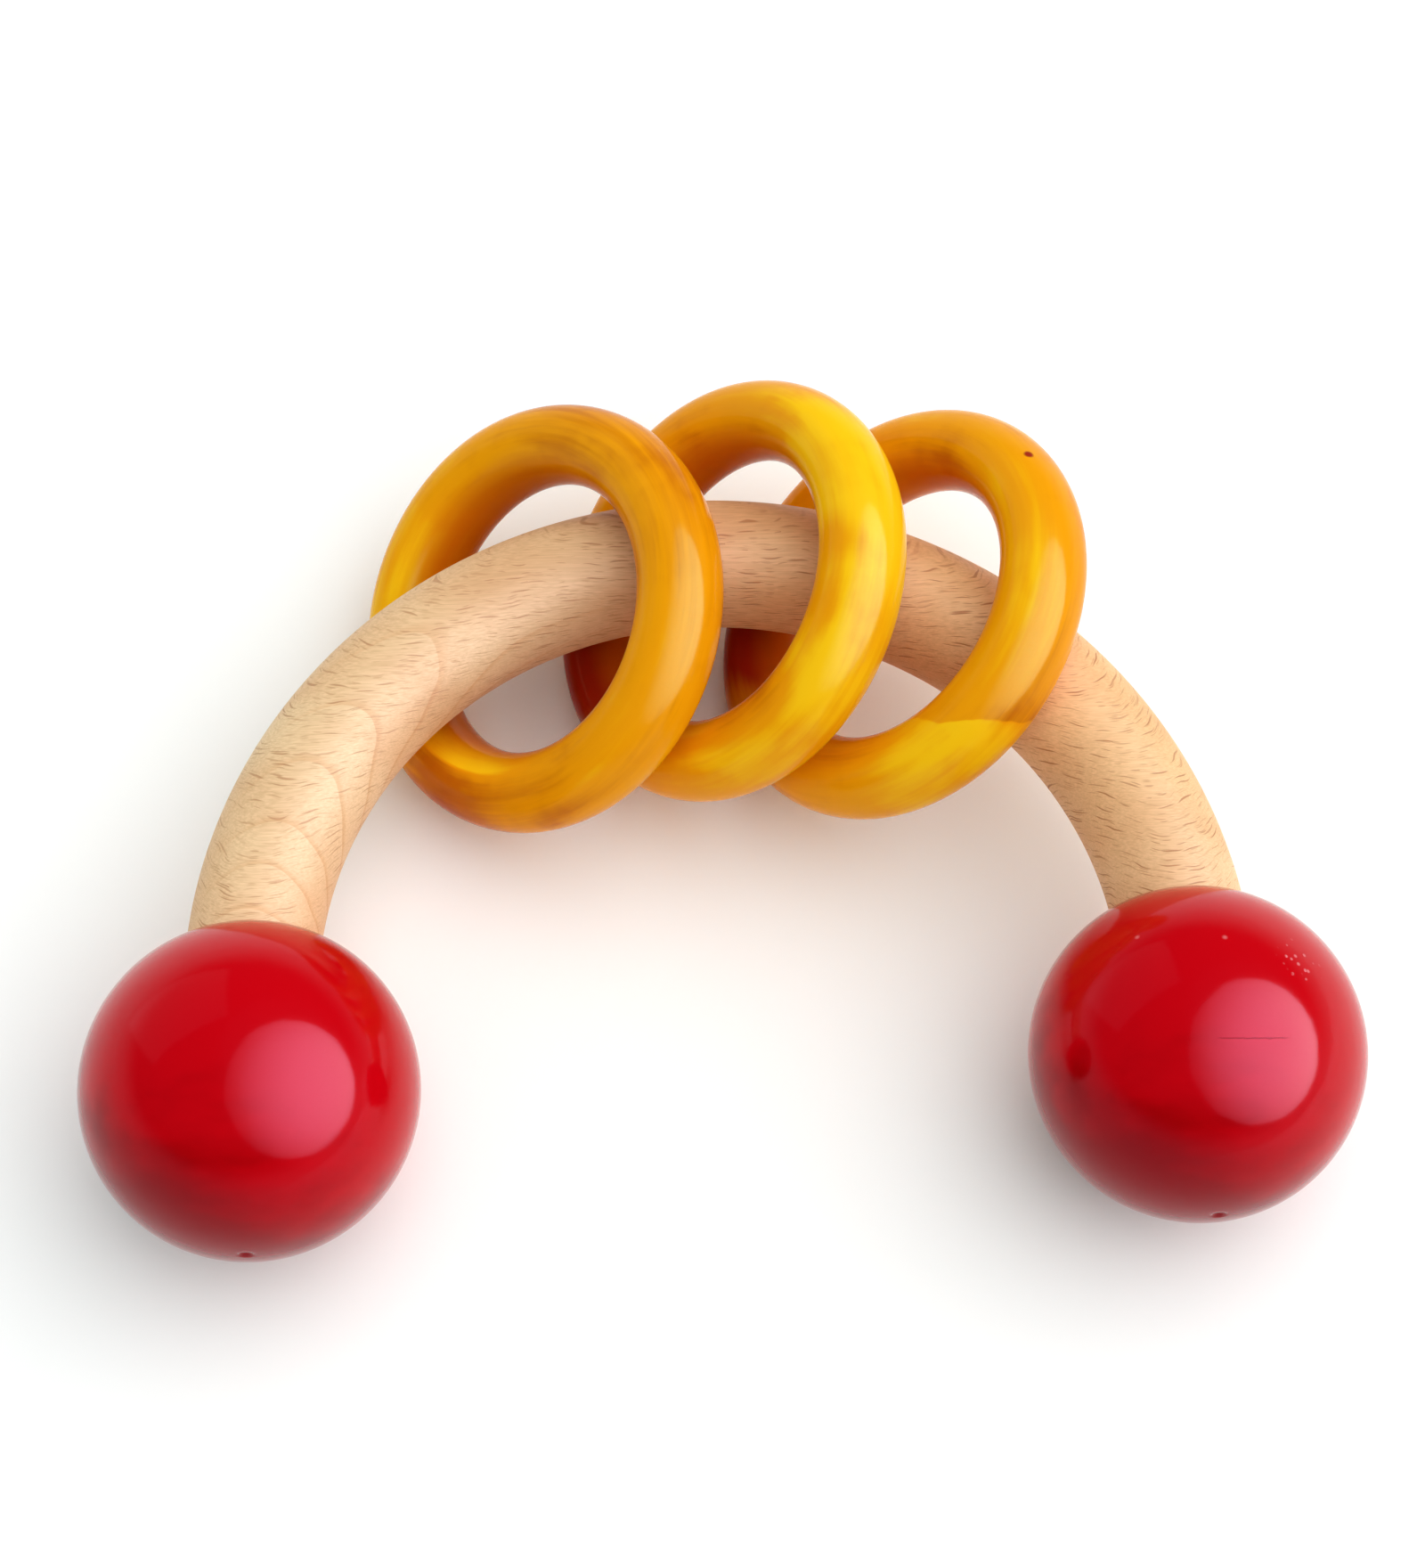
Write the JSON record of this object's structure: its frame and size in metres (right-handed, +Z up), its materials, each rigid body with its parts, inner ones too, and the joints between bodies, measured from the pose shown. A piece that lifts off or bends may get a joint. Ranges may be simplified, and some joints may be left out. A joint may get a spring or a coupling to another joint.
{
  "type": "wooden ring rattle",
  "caption": "Baby rattle with a half-ring beech grip, a red lacquered ball on each end and loose yellow lacquered wooden rings that slide and clack along the grip.",
  "frame": {"origin": "on the table, below the centre of the handle's arc", "axes": "+X from the left ball to the right ball, +Y from the balls to the crown of the handle, +Z up from the table"},
  "size_m": [0.171, 0.1247, 0.0476],
  "materials": {
    "beech": "bare, sanded smooth",
    "red_lacquer": "gloss lacquer on turned wood",
    "yellow_lacquer": "translucent gloss lacquer on turned wood",
    "dowel_beech": "bare, fluted"
  },
  "bodies": {
    "handle": {"half_ring_handle": "beech", "left_ball": "red_lacquer", "right_ball": "red_lacquer", "left_dowel": "dowel_beech", "right_dowel": "dowel_beech"},
    "middle_ring": {"middle_ring": "yellow_lacquer"},
    "left_ring": {"left_ring": "yellow_lacquer"},
    "right_ring": {"right_ring": "yellow_lacquer"}
  },
  "joints": [
    {"name": "middle_ring_slide", "type": "hinge", "parent": "handle", "child": "middle_ring", "pos_m": [0, 0, 0.0225], "axis": [0, 0, 1], "range_deg": [-15, 20]},
    {"name": "left_ring_slide", "type": "hinge", "parent": "middle_ring", "child": "left_ring", "pos_m": [0, 0, 0.0225], "axis": [0, 0, 1], "range_deg": [-3.4, 17]},
    {"name": "right_ring_slide", "type": "hinge", "parent": "middle_ring", "child": "right_ring", "pos_m": [0, 0, 0.0225], "axis": [0, 0, 1], "range_deg": [-15.5, 3.3]}
  ]
}
